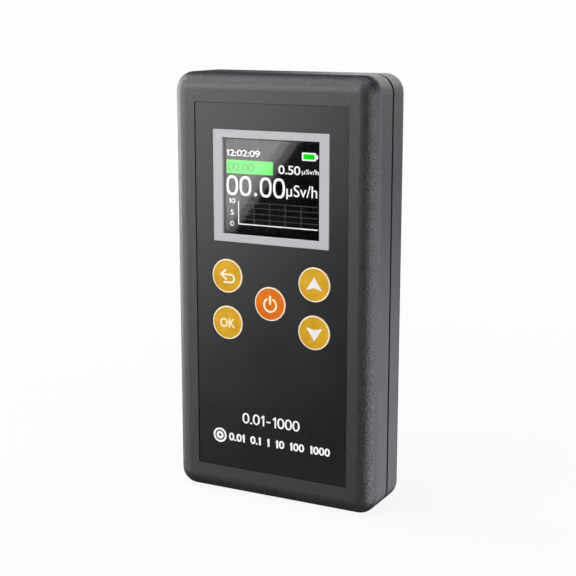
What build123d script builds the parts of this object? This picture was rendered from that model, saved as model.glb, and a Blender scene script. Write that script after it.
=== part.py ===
from build123d import *
import os

os.makedirs("parts", exist_ok=True)

# Handheld geiger counter, upright. +Z up, the front faces -Y, +X is to the right of the keypad.
# Origin: centre of the bottom end, at mid-depth. All dimensions in millimetres.

# ---------------------------------------------------------------- case
case_w = 63.5            # width, X
case_h = 123.2           # height, Z
case_d = 23.0            # depth, Y
corner_r = 5.2           # corner radius seen from the front
front_r = 4.6            # rounding of the front edge
rear_r = 5.0             # rounding of the rear edge
wall = 2.2               # side walls
front_wall = 2.5
rear_wall = 2.4
y_front = -case_d / 2    # -11.5
y_rear = case_d / 2
zc = case_h / 2          # 61.6, centre of the face
seam_y = 0.30            # middle of the joint between the shells
seam_gap = 0.70          # the sealing ring shows in this gap
y_seam_f = seam_y - seam_gap / 2      # -0.05
y_seam_r = seam_y + seam_gap / 2      # 0.65
y_in_front = y_front + front_wall     # -9.0, inner face of the front wall
y_in_rear = y_rear - rear_wall        # 9.1, inner face of the rear wall

# ---------------------------------------------------------------- front details
plate_w, plate_h, plate_t = 48.0, 106.5, 0.5
plate_sink = 0.30                      # faceplate surface below the front face
y_plate = y_front + plate_sink         # -11.2
y_pocket = y_plate + plate_t           # -10.7
plate_gap = 0.15
bezel_w, bezel_h = 36.4, 31.8
bezel_z = zc + 29.98
window_w, window_h = 30.4, 27.2
y_bezel = y_plate - 0.15               # -11.35
y_window = y_plate + 0.05              # -11.15
window_t = 0.9
view_w, view_h = 29.5, 26.3            # opening through the front wall
y_ledge = y_window + window_t          # -10.25

key_r = 4.92
key_gap = 0.16
key_flange_r = 6.2
key_travel = 0.4
y_key = y_front + 0.04                 # crown of a key
keys = {
    "back": (-13.86, zc + 4.08),
    "ok": (-13.86, zc - 9.62),
    "power": (0.0, zc - 2.79),
    "up": (13.86, zc + 4.08),
    "down": (13.86, zc - 9.62),
}

# ---------------------------------------------------------------- inside
board_w, board_t = 57.0, 1.6
board_z0, board_z1 = 12.4, 111.4
y_board_f = -4.6
y_board_r = y_board_f + board_t        # -3.0
board_zc = (board_z0 + board_z1) / 2
case_screws_at = [(-24.0, 8.0), (24.0, 8.0), (-24.0, 115.2), (24.0, 115.2)]
board_screws_at = [(-20.5, 14.8), (20.5, 14.8), (-24.5, 109.2), (24.5, 109.2)]
boss_r = 3.2
board_boss_r = 2.5
insert_r, insert_l = 1.8, 5.0
boss_split_y = 0.30                    # front and rear bosses meet here

# battery bay, open to the rear
cell_d, cell_l = 10.5, 44.5
cell_pitch = 11.2
bay_x, bay_z = -8.0, 46.0
bay_w, bay_h = 34.0, 52.0
bay_floor_y = -1.1
tub_wall = 1.2
cell_y = 4.4
door_w, door_h, door_t = 37.2, 69.2, 1.4
door_gap = 0.15
door_screws_at = [(bay_x, bay_z - 30.8), (bay_x, bay_z + 30.8)]
y_door = y_rear - door_t               # 10.1

# geiger tube
tube_x, tube_y = 21.5, 3.2
tube_r, tube_t = 5.0, 0.8
tube_z0, tube_z1 = 22.0, 102.0
cap_r, cap_l = 3.5, 5.0

# buzzer and sound holes
buzzer_x, buzzer_z = -17.0, 97.0
buzzer_r, buzzer_h = 6.0, 9.5


def at_y(y):
    """Plane facing -Y at the given y; its local x is +X and its local y is +Z."""
    return Plane.XZ.offset(-y)


# ================================================================= case shells
with BuildPart() as front_shell:
    with BuildSketch(at_y(y_seam_f)):
        with Locations((0, zc)):
            RectangleRounded(case_w, case_h, corner_r)
    extrude(amount=y_seam_f - y_front)
    fillet(front_shell.faces().sort_by(Axis.Y)[0].edges(), front_r)
    chamfer(front_shell.faces().sort_by(Axis.Y)[-1].edges(), 0.2)
    # cavity
    with BuildSketch(at_y(y_seam_f)):
        with Locations((0, zc)):
            RectangleRounded(case_w - 2 * wall, case_h - 2 * wall, corner_r - wall)
    extrude(amount=y_seam_f - y_in_front, mode=Mode.SUBTRACT)
    # bosses for the case screws and for the board
    with BuildSketch(at_y(boss_split_y)):
        with Locations(*case_screws_at):
            Circle(boss_r)
    extrude(amount=boss_split_y - y_in_front + 0.2)
    with BuildSketch(at_y(y_board_f)):
        with Locations(*board_screws_at):
            Circle(board_boss_r)
    extrude(amount=y_board_f - y_in_front + 0.2)
    # pocket for the faceplate, with a fine broken edge
    with BuildSketch(at_y(y_pocket)):
        with Locations((0, zc)):
            RectangleRounded(plate_w + 2 * plate_gap, plate_h + 2 * plate_gap, 0.5)
    extrude(amount=y_pocket - y_front + 1, mode=Mode.SUBTRACT)
    # seat of the display window and the opening behind it
    with BuildSketch(at_y(y_ledge)):
        with Locations((0, bezel_z)):
            Rectangle(window_w + 0.1, window_h + 0.1)
    extrude(amount=3, mode=Mode.SUBTRACT)
    with BuildSketch(at_y(y_in_front + 1)):
        with Locations((0, bezel_z)):
            Rectangle(view_w, view_h)
    extrude(amount=4, mode=Mode.SUBTRACT)
    # key holes
    with BuildSketch(at_y(y_in_front + 1)):
        with Locations(*keys.values()):
            Circle(key_r + key_gap)
    extrude(amount=4, mode=Mode.SUBTRACT)
    # blind holes for the inserts and the board screws
    with BuildSketch(at_y(boss_split_y)):
        with Locations(*case_screws_at):
            Circle(insert_r + 0.02)
    extrude(amount=insert_l + 2.0, mode=Mode.SUBTRACT)
    with BuildSketch(at_y(y_board_f)):
        with Locations(*board_screws_at):
            Circle(0.92)
    extrude(amount=3.6, mode=Mode.SUBTRACT)

with BuildPart() as rear_shell:
    with BuildSketch(at_y(y_rear)):
        with Locations((0, zc)):
            RectangleRounded(case_w, case_h, corner_r)
    extrude(amount=y_rear - y_seam_r)
    fillet(rear_shell.faces().sort_by(Axis.Y)[-1].edges(), rear_r)
    chamfer(rear_shell.faces().sort_by(Axis.Y)[0].edges(), 0.2)
    # cavity
    with BuildSketch(at_y(y_in_rear)):
        with Locations((0, zc)):
            RectangleRounded(case_w - 2 * wall, case_h - 2 * wall, corner_r - wall)
    extrude(amount=y_in_rear - y_seam_r, mode=Mode.SUBTRACT)
    # locating lip that enters the front shell inside its wall
    with BuildSketch(at_y(y_seam_r + 2.0)):
        with Locations((0, zc)):
            RectangleRounded(case_w - 2 * wall + 0.4, case_h - 2 * wall + 0.4, corner_r - wall + 0.2)
            RectangleRounded(case_w - 2 * wall - 1.8, case_h - 2 * wall - 1.8, corner_r - wall - 0.9,
                             mode=Mode.SUBTRACT)
    extrude(amount=2.0)
    with BuildSketch(at_y(y_seam_r)):
        with Locations((0, zc)):
            RectangleRounded(case_w - 2 * wall - 0.2, case_h - 2 * wall - 0.2, corner_r - wall - 0.1)
            RectangleRounded(case_w - 2 * wall - 1.8, case_h - 2 * wall - 1.8, corner_r - wall - 0.9,
                             mode=Mode.SUBTRACT)
    extrude(amount=1.8)
    # battery tub
    with BuildSketch(at_y(y_in_rear + 0.2)):
        with Locations((bay_x, bay_z)):
            Rectangle(bay_w + 2 * tub_wall, bay_h + 2 * tub_wall)
    extrude(amount=y_in_rear + 0.2 - bay_floor_y + tub_wall)
    # bosses for the case screws and the door screws
    with BuildSketch(at_y(y_in_rear + 0.2)):
        with Locations(*case_screws_at):
            Circle(boss_r)
    extrude(amount=y_in_rear + 0.2 - boss_split_y)
    with BuildSketch(at_y(y_in_rear + 0.2)):
        with Locations(*door_screws_at):
            Circle(boss_r)
    extrude(amount=7.0)
    # bay and door seat
    with BuildSketch(at_y(y_rear + 1)):
        with Locations((bay_x, bay_z)):
            Rectangle(bay_w, bay_h)
    extrude(amount=y_rear + 1 - bay_floor_y, mode=Mode.SUBTRACT)
    with BuildSketch(at_y(y_rear + 1)):
        with Locations((bay_x, bay_z)):
            RectangleRounded(door_w + 2 * door_gap, door_h + 2 * door_gap, 2.0 + door_gap)
    extrude(amount=1 + door_t, mode=Mode.SUBTRACT)
    # slots for the contact tails through the tub floor
    with BuildSketch(at_y(bay_floor_y + 0.5)):
        with Locations(*[(bay_x + i * cell_pitch, bay_z + s * (bay_h / 2 - 0.35)) for i in (-1, 0, 1) for s in (-1, 1)]):
            Rectangle(1.8, 0.7)
    extrude(amount=3, mode=Mode.SUBTRACT)
    # counterbores and clearance holes for the case screws
    with BuildSketch(at_y(y_rear + 1)):
        with Locations(*case_screws_at):
            Circle(2.6)
    extrude(amount=1 + 2.3, mode=Mode.SUBTRACT)
    with BuildSketch(at_y(y_rear)):
        with Locations(*case_screws_at):
            Circle(1.4)
    extrude(amount=case_d, mode=Mode.SUBTRACT)
    # holes for the door inserts
    with BuildSketch(at_y(y_door)):
        with Locations(*door_screws_at):
            Circle(insert_r + 0.02)
    extrude(amount=6.0, mode=Mode.SUBTRACT)
    # sound holes over the buzzer
    with BuildSketch(at_y(y_rear + 1)):
        with Locations((buzzer_x, buzzer_z)):
            Circle(0.8)
            with PolarLocations(3.4, 6):
                Circle(0.8)
    extrude(amount=rear_wall + 2, mode=Mode.SUBTRACT)
    # shallow seat for the rating label
    with BuildSketch(at_y(y_rear + 1)):
        with Locations((9.0, 97.0)):
            RectangleRounded(30.4, 18.4, 1.0)
    extrude(amount=1 + 0.25, mode=Mode.SUBTRACT)

with BuildPart() as case_seal:
    with BuildSketch(at_y(y_seam_r)):
        with Locations((0, zc)):
            RectangleRounded(case_w - 0.7, case_h - 0.7, corner_r - 0.35)
            RectangleRounded(case_w - 3.6, case_h - 3.6, corner_r - 1.8, mode=Mode.SUBTRACT)
    extrude(amount=seam_gap)

with BuildPart() as case_inserts:
    with BuildSketch(at_y(boss_split_y)):
        with Locations(*case_screws_at):
            Circle(insert_r)
            Circle(1.28, mode=Mode.SUBTRACT)
    extrude(amount=insert_l)

with BuildPart() as case_screws:
    # cross-head pan screws, M2.5 x 14
    with BuildSketch(at_y(y_rear - 2.3 + 1.5)):
        with Locations(*case_screws_at):
            Circle(2.3)
    extrude(amount=1.5)
    fillet(case_screws.faces().group_by(Axis.Y)[-1].edges(), 0.5)
    with BuildSketch(at_y(y_rear - 2.3)):
        with Locations(*case_screws_at):
            Circle(1.22)
    extrude(amount=14.0)
    with BuildSketch(at_y(y_rear - 2.3 + 1.6)):
        with Locations(*case_screws_at):
            Rectangle(2.6, 0.6)
            Rectangle(0.6, 2.6)
    extrude(amount=1.0, mode=Mode.SUBTRACT)

# ================================================================= faceplate and display
with BuildPart() as faceplate:
    with BuildSketch(at_y(y_pocket)):
        with Locations((0, zc)):
            RectangleRounded(plate_w, plate_h, 0.4)
        with Locations((0, bezel_z)):
            Rectangle(bezel_w + 0.1, bezel_h + 0.1, mode=Mode.SUBTRACT)
        with Locations(*keys.values()):
            Circle(key_r + key_gap, mode=Mode.SUBTRACT)
    extrude(amount=plate_t)

with BuildPart() as display_bezel:
    with BuildSketch(at_y(y_pocket)):
        with Locations((0, bezel_z)):
            RectangleRounded(bezel_w, bezel_h, 0.3)
            Rectangle(window_w, window_h, mode=Mode.SUBTRACT)
    extrude(amount=y_pocket - y_bezel)
    chamfer(display_bezel.faces().sort_by(Axis.Y)[0].edges(), 0.12)

with BuildPart() as display_window:
    with BuildSketch(at_y(y_ledge)):
        with Locations((0, bezel_z)):
            Rectangle(window_w - 0.1, window_h - 0.1)
    extrude(amount=window_t)

lcd_y = y_ledge + 0.06
with BuildPart() as lcd_glass:
    with BuildSketch(at_y(y_in_front + 0.2)):
        with Locations((0, bezel_z)):
            Rectangle(view_w - 0.2, view_h - 0.2)
    extrude(amount=y_in_front + 0.2 - lcd_y)

with BuildPart() as lcd_backlight:
    with BuildSketch(at_y(-6.4)):
        with Locations((0, bezel_z)):
            RectangleRounded(34.0, 33.0, 0.6)
    extrude(amount=-6.4 - (y_in_front + 0.2))
    with BuildSketch(at_y(-6.4)):
        with Locations((0, bezel_z)):
            Rectangle(24.0, 22.0)
    extrude(amount=0.5, mode=Mode.SUBTRACT)

with BuildPart() as display_foam_pad:
    with BuildSketch(at_y(y_board_f)):
        with Locations((0, bezel_z)):
            RectangleRounded(31.0, 29.0, 1.0)
            Rectangle(23.0, 21.0, mode=Mode.SUBTRACT)
    extrude(amount=y_board_f + 6.4)

# flexible tail of the display, folded down to its connector
flex_z_top = bezel_z - 16.5
with BuildPart() as lcd_flex:
    with BuildSketch(Plane.YZ.offset(-6.0)):
        with BuildLine():
            Polyline((-7.3, flex_z_top), (-7.3, flex_z_top - 1.2), (-5.75, flex_z_top - 2.6),
                     (-5.75, flex_z_top - 5.2), (-5.60, flex_z_top - 5.2), (-5.60, flex_z_top - 2.55),
                     (-7.13, flex_z_top - 1.15), (-7.13, flex_z_top), close=True)
        make_face()
    extrude(amount=12.0)

with BuildPart() as display_connector:
    with BuildSketch(at_y(y_board_f)):
        with Locations((0, flex_z_top - 5.6)):
            Rectangle(14.0, 3.4)
    extrude(amount=1.6)
    with BuildSketch(at_y(-5.5)):
        with Locations((0, flex_z_top - 4.4)):
            Rectangle(12.4, 1.8)
    extrude(amount=0.35, mode=Mode.SUBTRACT)

# ================================================================= keys
y_flange = y_in_front + 0.05
y_stem = y_flange + 1.05               # the stem ends on the switch plunger
y_switch_top = y_board_f - 2.4


# half section of a key: flat face with a rounded rim, barrel, retaining flange and stem
with BuildSketch() as key_section:
    with BuildLine():
        Polyline((key_r, y_key + 0.25), (key_r, y_flange), (key_flange_r, y_flange), (key_flange_r, y_flange + 0.7),
                 (2.5, y_flange + 0.7), (2.5, y_stem), (0, y_stem), (0, y_key), (key_r - 0.25, y_key))
        RadiusArc((key_r - 0.25, y_key), (key_r, y_key + 0.25), -0.25)
    make_face()

with BuildPart() as back_key:
    with BuildSketch(Plane((keys["back"][0], 0, keys["back"][1]))):
        add(key_section.sketch)
    revolve(axis=Axis((keys["back"][0], 0, keys["back"][1]), (0, 1, 0)))
with BuildPart() as ok_key:
    with BuildSketch(Plane((keys["ok"][0], 0, keys["ok"][1]))):
        add(key_section.sketch)
    revolve(axis=Axis((keys["ok"][0], 0, keys["ok"][1]), (0, 1, 0)))
with BuildPart() as power_key:
    with BuildSketch(Plane((keys["power"][0], 0, keys["power"][1]))):
        add(key_section.sketch)
    revolve(axis=Axis((keys["power"][0], 0, keys["power"][1]), (0, 1, 0)))
with BuildPart() as up_key:
    with BuildSketch(Plane((keys["up"][0], 0, keys["up"][1]))):
        add(key_section.sketch)
    revolve(axis=Axis((keys["up"][0], 0, keys["up"][1]), (0, 1, 0)))
with BuildPart() as down_key:
    with BuildSketch(Plane((keys["down"][0], 0, keys["down"][1]))):
        add(key_section.sketch)
    revolve(axis=Axis((keys["down"][0], 0, keys["down"][1]), (0, 1, 0)))

plunger_r = 1.7
y_plunger_end = y_stem + 2.2
with BuildPart() as back_key_plunger:
    with BuildSketch(at_y(y_plunger_end)):
        with Locations(keys["back"]):
            Circle(plunger_r)
    extrude(amount=y_plunger_end - y_stem)
with BuildPart() as ok_key_plunger:
    with BuildSketch(at_y(y_plunger_end)):
        with Locations(keys["ok"]):
            Circle(plunger_r)
    extrude(amount=y_plunger_end - y_stem)
with BuildPart() as power_key_plunger:
    with BuildSketch(at_y(y_plunger_end)):
        with Locations(keys["power"]):
            Circle(plunger_r)
    extrude(amount=y_plunger_end - y_stem)
with BuildPart() as up_key_plunger:
    with BuildSketch(at_y(y_plunger_end)):
        with Locations(keys["up"]):
            Circle(plunger_r)
    extrude(amount=y_plunger_end - y_stem)
with BuildPart() as down_key_plunger:
    with BuildSketch(at_y(y_plunger_end)):
        with Locations(keys["down"]):
            Circle(plunger_r)
    extrude(amount=y_plunger_end - y_stem)

with BuildPart() as key_switches:
    with BuildSketch(at_y(y_board_f)):
        with Locations(*keys.values()):
            RectangleRounded(6.0, 6.0, 0.4)
    extrude(amount=y_board_f - y_switch_top)
    with BuildSketch(at_y(y_plunger_end + key_travel + 0.1)):
        with Locations(*keys.values()):
            Circle(plunger_r + 0.08)
    extrude(amount=4, mode=Mode.SUBTRACT)

# ================================================================= main board
with BuildPart() as main_board:
    with BuildSketch(at_y(y_board_r)):
        with Locations((0, board_zc)):
            RectangleRounded(board_w, board_z1 - board_z0, 1.5)
        with Locations(*board_screws_at):
            Circle(1.15, mode=Mode.SUBTRACT)
    extrude(amount=board_t)

with BuildPart() as board_screws:
    # M2 x 5 pan screws, heads on the rear face of the board
    with BuildSketch(at_y(y_board_r + 1.2)):
        with Locations(*board_screws_at):
            Circle(1.9)
    extrude(amount=1.2)
    fillet(board_screws.faces().group_by(Axis.Y)[-1].edges(), 0.4)
    with BuildSketch(at_y(y_board_r)):
        with Locations(*board_screws_at):
            Circle(0.9)
    extrude(amount=5.0)

with BuildPart() as mcu_chip:
    with BuildSketch(at_y(y_board_r + 1.2)):
        with Locations((3.0, 88.0)):
            Rectangle(7.0, 7.0)
    extrude(amount=1.2)
    chamfer(mcu_chip.faces().sort_by(Axis.Y)[-1].edges(), 0.2)

with BuildPart() as board_chips:
    # regulator, charge-pump driver, comparator and memory
    with BuildSketch(at_y(y_board_r + 1.3)):
        with Locations((12.0, 84.0), (12.0, 92.0), (-6.0, 84.0)):
            Rectangle(3.9, 4.9)
        with Locations((-24.0, 84.0)):
            Rectangle(3.0, 3.0)
    extrude(amount=1.3)

with BuildPart() as quartz_crystal:
    with BuildSketch(at_y(y_board_r + 1.0)):
        with Locations((3.0, 95.0)):
            RectangleRounded(5.0, 3.2, 0.5)
    extrude(amount=1.0)

with BuildPart() as board_passives:
    with BuildSketch(at_y(y_board_r + 0.6)):
        with Locations((-3.5, 90.0), (-3.5, 92.5), (9.0, 97.0), (9.0, 99.5), (12.0, 97.0), (-12.0, 83.0), (-15.0, 83.0), (-18.0, 83.0)):
            Rectangle(1.6, 0.8)
    extrude(amount=0.6)

with BuildPart() as hv_transformer_core:
    with BuildSketch(at_y(y_board_r + 7.0)):
        with Locations((-2.0, 103.5)):
            Rectangle(11.0, 9.0)
    extrude(amount=7.0)
    with BuildSketch(Plane.XY.offset(98.0)):
        with Locations((-2.0, y_board_r + 3.5)):
            Rectangle(8.0, 4.4)
            Rectangle(2.6, 4.4, mode=Mode.SUBTRACT)
    extrude(amount=11.0, mode=Mode.SUBTRACT)

with BuildPart() as hv_transformer_winding:
    # coil round the middle leg of the core, through both windows
    with BuildSketch(at_y(y_board_r + 5.5)):
        with Locations((-2.0, 103.5)):
            Rectangle(7.8, 10.8)
            Rectangle(2.8, 9.1, mode=Mode.SUBTRACT)
    extrude(amount=4.0)

with BuildPart() as hv_capacitors:
    with BuildSketch(at_y(y_board_r + 6.0)):
        with Locations((9.5, 105.0), (15.0, 99.0)):
            RectangleRounded(2.4, 5.4, 1.1)
    extrude(amount=6.0)

with BuildPart() as buzzer:
    with BuildSketch(at_y(y_board_r + buzzer_h)):
        with Locations((buzzer_x, buzzer_z)):
            Circle(buzzer_r)
    extrude(amount=buzzer_h)
    with BuildSketch(at_y(y_board_r + buzzer_h)):
        with Locations((buzzer_x, buzzer_z)):
            Circle(1.2)
    extrude(amount=3.0, mode=Mode.SUBTRACT)

# ================================================================= geiger tube
with BuildPart() as gm_tube_glass:
    with BuildSketch(Plane.XY.offset(tube_z0)):
        with Locations((tube_x, tube_y)):
            Circle(tube_r)
            Circle(tube_r - tube_t, mode=Mode.SUBTRACT)
    extrude(amount=tube_z1 - tube_z0)

with BuildPart() as gm_tube_cathode:
    with BuildSketch(Plane.XY.offset(tube_z0 + 4)):
        with Locations((tube_x, tube_y)):
            Circle(tube_r - tube_t - 0.05)
            Circle(tube_r - tube_t - 0.45, mode=Mode.SUBTRACT)
    extrude(amount=tube_z1 - tube_z0 - 8)

with BuildPart() as gm_tube_end_caps:
    # stepped metal seals: a plug inside the glass and a contact cap outside
    with BuildSketch(Plane.XY.offset(tube_z0 - cap_l)):
        with Locations((tube_x, tube_y)):
            Circle(cap_r)
    extrude(amount=cap_l)
    with BuildSketch(Plane.XY.offset(tube_z0)):
        with Locations((tube_x, tube_y)):
            Circle(tube_r - tube_t - 0.05)
    extrude(amount=3.0)
    with BuildSketch(Plane.XY.offset(tube_z1)):
        with Locations((tube_x, tube_y)):
            Circle(cap_r)
    extrude(amount=cap_l)
    with BuildSketch(Plane.XY.offset(tube_z1 - 3.0)):
        with Locations((tube_x, tube_y)):
            Circle(tube_r - tube_t - 0.05)
    extrude(amount=3.0)
    # bores for the anode wire
    with BuildSketch(Plane.XY.offset(tube_z0 - cap_l + 2.0)):
        with Locations((tube_x, tube_y)):
            Circle(0.32)
    extrude(amount=tube_z1 - tube_z0 + 2 * cap_l - 4.0, mode=Mode.SUBTRACT)

with BuildPart() as gm_tube_anode_wire:
    with BuildSketch(Plane.XY.offset(tube_z0 - cap_l + 2.1)):
        with Locations((tube_x, tube_y)):
            Circle(0.3)
    extrude(amount=tube_z1 - tube_z0 + 2 * cap_l - 4.2)

with BuildPart() as gm_tube_clips:
    # sprung U clips that grip the end caps
    with BuildSketch(Plane.XY.offset(tube_z0 - 4.2)):
        with Locations((tube_x, tube_y)):
            Circle(cap_r + 0.55)
            Circle(cap_r + 0.05, mode=Mode.SUBTRACT)
        with Locations((tube_x, tube_y + 4.6)):
            Rectangle(5.0, 5.0, mode=Mode.SUBTRACT)
        with Locations((tube_x, (y_board_r + tube_y - cap_r - 0.3) / 2)):
            Rectangle(2.4, (tube_y - cap_r - 0.3) - y_board_r)
        with Locations((tube_x, y_board_r + 0.2)):
            Rectangle(6.0, 0.4)
    extrude(amount=3.4)
    with BuildSketch(Plane.XY.offset(tube_z1 + 0.8)):
        with Locations((tube_x, tube_y)):
            Circle(cap_r + 0.55)
            Circle(cap_r + 0.05, mode=Mode.SUBTRACT)
        with Locations((tube_x, tube_y + 4.6)):
            Rectangle(5.0, 5.0, mode=Mode.SUBTRACT)
        with Locations((tube_x, (y_board_r + tube_y - cap_r - 0.3) / 2)):
            Rectangle(2.4, (tube_y - cap_r - 0.3) - y_board_r)
        with Locations((tube_x, y_board_r + 0.2)):
            Rectangle(6.0, 0.4)
    extrude(amount=3.4)

with BuildPart() as tube_foam_pad:
    with BuildSketch(at_y(y_in_rear)):
        with Locations((tube_x, 62.0)):
            RectangleRounded(8.0, 26.0, 0.8)
    extrude(amount=0.8)

# ================================================================= batteries
with BuildPart() as battery_cells:
    # three AAA cells, the middle one turned over; the positive ends carry a nub
    with BuildSketch(Plane.XY.offset(bay_z - cell_l / 2)):
        with Locations(*[(bay_x + i * cell_pitch, cell_y) for i in (-1, 1)]):
            Circle(cell_d / 2)
    extrude(amount=cell_l - 0.9)
    with BuildSketch(Plane.XY.offset(bay_z - cell_l / 2 + 0.9)):
        with Locations((bay_x, cell_y)):
            Circle(cell_d / 2)
    extrude(amount=cell_l - 0.9)
    with BuildSketch(Plane.XY.offset(bay_z + cell_l / 2 - 0.9)):
        with Locations(*[(bay_x + i * cell_pitch, cell_y) for i in (-1, 1)]):
            Circle(1.9)
    extrude(amount=0.9)
    with BuildSketch(Plane.XY.offset(bay_z - cell_l / 2)):
        with Locations((bay_x, cell_y)):
            Circle(1.9)
    extrude(amount=0.9)

contact_top = bay_z + bay_h / 2
contact_low = bay_z - bay_h / 2
contact_reach = (bay_h - cell_l) / 2
with BuildPart() as battery_contacts_upper:
    # leaf contacts on the end wall, bowed towards the cell, with a tail through the tub floor
    with BuildSketch(Plane.YZ.offset(bay_x - 3.2)):
        with BuildLine():
            Polyline((bay_floor_y - 1.9, contact_top), (bay_floor_y - 1.9, contact_top - 0.4), (0.2, contact_top - 0.4),
                     (cell_y, contact_top - contact_reach), (8.6, contact_top - 0.5), (8.6, contact_top - 0.1),
                     (cell_y, contact_top - contact_reach + 0.4), (0.2, contact_top), close=True)
        make_face()
    extrude(amount=6.4)
    with Locations((bay_x + 2.5, bay_floor_y - 1.0, contact_top)):
        Box(3.4, 2.2, 2.0, mode=Mode.SUBTRACT)
    with Locations((bay_x - 2.5, bay_floor_y - 1.0, contact_top)):
        Box(3.4, 2.2, 2.0, mode=Mode.SUBTRACT)
    add(battery_contacts_upper.part.moved(Location((-cell_pitch, 0, 0))))
    add(battery_contacts_upper.part.moved(Location((2 * cell_pitch, 0, 0))).solids().sort_by(Axis.X)[0])

with BuildPart() as battery_contacts_lower:
    with BuildSketch(Plane.YZ.offset(bay_x - 3.2)):
        with BuildLine():
            Polyline((bay_floor_y - 1.9, contact_low), (bay_floor_y - 1.9, contact_low + 0.4), (0.2, contact_low + 0.4),
                     (cell_y, contact_low + contact_reach), (8.6, contact_low + 0.5), (8.6, contact_low + 0.1),
                     (cell_y, contact_low + contact_reach - 0.4), (0.2, contact_low), close=True)
        make_face()
    extrude(amount=6.4)
    with Locations((bay_x + 2.5, bay_floor_y - 1.0, contact_low)):
        Box(3.4, 2.2, 2.0, mode=Mode.SUBTRACT)
    with Locations((bay_x - 2.5, bay_floor_y - 1.0, contact_low)):
        Box(3.4, 2.2, 2.0, mode=Mode.SUBTRACT)
    add(battery_contacts_lower.part.moved(Location((-cell_pitch, 0, 0))))
    add(battery_contacts_lower.part.moved(Location((2 * cell_pitch, 0, 0))).solids().sort_by(Axis.X)[0])

with BuildPart() as battery_door:
    with BuildSketch(at_y(y_rear)):
        with Locations((bay_x, bay_z)):
            RectangleRounded(door_w, door_h, 2.0)
    extrude(amount=door_t - 0.02)
    # shallow grip ribs cut into the outer face
    with BuildSketch(at_y(y_rear)):
        with Locations(*[(bay_x, bay_z - 6 + 3 * i) for i in range(5)]):
            SlotOverall(20.0, 1.4)
    extrude(amount=0.5, mode=Mode.SUBTRACT)
    # countersunk holes
    with BuildSketch(at_y(y_rear)):
        with Locations(*door_screws_at):
            Circle(2.3)
    extrude(amount=0.8, mode=Mode.SUBTRACT)
    with BuildSketch(at_y(y_rear)):
        with Locations(*door_screws_at):
            Circle(1.35)
    extrude(amount=3, mode=Mode.SUBTRACT)

with BuildPart() as battery_door_screws:
    with BuildSketch(at_y(y_rear - 0.1)):
        with Locations(*door_screws_at):
            Circle(2.1)
    extrude(amount=0.7)
    with BuildSketch(at_y(y_rear - 0.8)):
        with Locations(*door_screws_at):
            Circle(1.15)
    extrude(amount=5.4)
    with BuildSketch(at_y(y_rear)):
        with Locations(*door_screws_at):
            Rectangle(3.0, 0.55)
    extrude(amount=0.5, mode=Mode.SUBTRACT)

with BuildPart() as battery_door_inserts:
    with BuildSketch(at_y(y_door - 0.1)):
        with Locations(*door_screws_at):
            Circle(insert_r)
            Circle(1.25, mode=Mode.SUBTRACT)
    extrude(amount=4.6)

with BuildPart() as rear_label:
    with BuildSketch(at_y(y_rear - 0.05)):
        with Locations((9.0, 97.0)):
            RectangleRounded(30.0, 18.0, 0.8)
    extrude(amount=0.2)

# ================================================================= labels and files
front_shell.part.label = "front_shell"
rear_shell.part.label = "rear_shell"
case_seal.part.label = "case_seal"
case_inserts.part.label = "case_inserts"
case_screws.part.label = "case_screws"
faceplate.part.label = "faceplate"
display_bezel.part.label = "display_bezel"
display_window.part.label = "display_window"
lcd_glass.part.label = "lcd_glass"
lcd_backlight.part.label = "lcd_backlight"
display_foam_pad.part.label = "display_foam_pad"
lcd_flex.part.label = "lcd_flex"
display_connector.part.label = "display_connector"
back_key.part.label = "back_key"
ok_key.part.label = "ok_key"
power_key.part.label = "power_key"
up_key.part.label = "up_key"
down_key.part.label = "down_key"
back_key_plunger.part.label = "back_key_plunger"
ok_key_plunger.part.label = "ok_key_plunger"
power_key_plunger.part.label = "power_key_plunger"
up_key_plunger.part.label = "up_key_plunger"
down_key_plunger.part.label = "down_key_plunger"
key_switches.part.label = "key_switches"
main_board.part.label = "main_board"
board_screws.part.label = "board_screws"
mcu_chip.part.label = "mcu_chip"
board_chips.part.label = "board_chips"
quartz_crystal.part.label = "quartz_crystal"
board_passives.part.label = "board_passives"
hv_transformer_core.part.label = "hv_transformer_core"
hv_transformer_winding.part.label = "hv_transformer_winding"
hv_capacitors.part.label = "hv_capacitors"
buzzer.part.label = "buzzer"
gm_tube_glass.part.label = "gm_tube_glass"
gm_tube_cathode.part.label = "gm_tube_cathode"
gm_tube_end_caps.part.label = "gm_tube_end_caps"
gm_tube_anode_wire.part.label = "gm_tube_anode_wire"
gm_tube_clips.part.label = "gm_tube_clips"
tube_foam_pad.part.label = "tube_foam_pad"
battery_cells.part.label = "battery_cells"
battery_contacts_upper.part.label = "battery_contacts_upper"
battery_contacts_lower.part.label = "battery_contacts_lower"
battery_door.part.label = "battery_door"
battery_door_screws.part.label = "battery_door_screws"
battery_door_inserts.part.label = "battery_door_inserts"
rear_label.part.label = "rear_label"

for piece in (
    front_shell, rear_shell, case_seal, case_inserts, case_screws, faceplate, display_bezel, display_window,
    lcd_glass, lcd_backlight, display_foam_pad, lcd_flex, display_connector, back_key, ok_key, power_key, up_key,
    down_key, back_key_plunger, ok_key_plunger, power_key_plunger, up_key_plunger, down_key_plunger, key_switches,
    main_board, board_screws, mcu_chip, board_chips, quartz_crystal, board_passives, hv_transformer_core,
    hv_transformer_winding, hv_capacitors, buzzer, gm_tube_glass, gm_tube_cathode, gm_tube_end_caps,
    gm_tube_anode_wire, gm_tube_clips, tube_foam_pad, battery_cells, battery_contacts_upper,
    battery_contacts_lower, battery_door, battery_door_screws, battery_door_inserts, rear_label,
):
    export_step(piece.part, "parts/" + piece.part.label + ".step")
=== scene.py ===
import bpy
import math
from mathutils import Matrix, Vector


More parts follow.
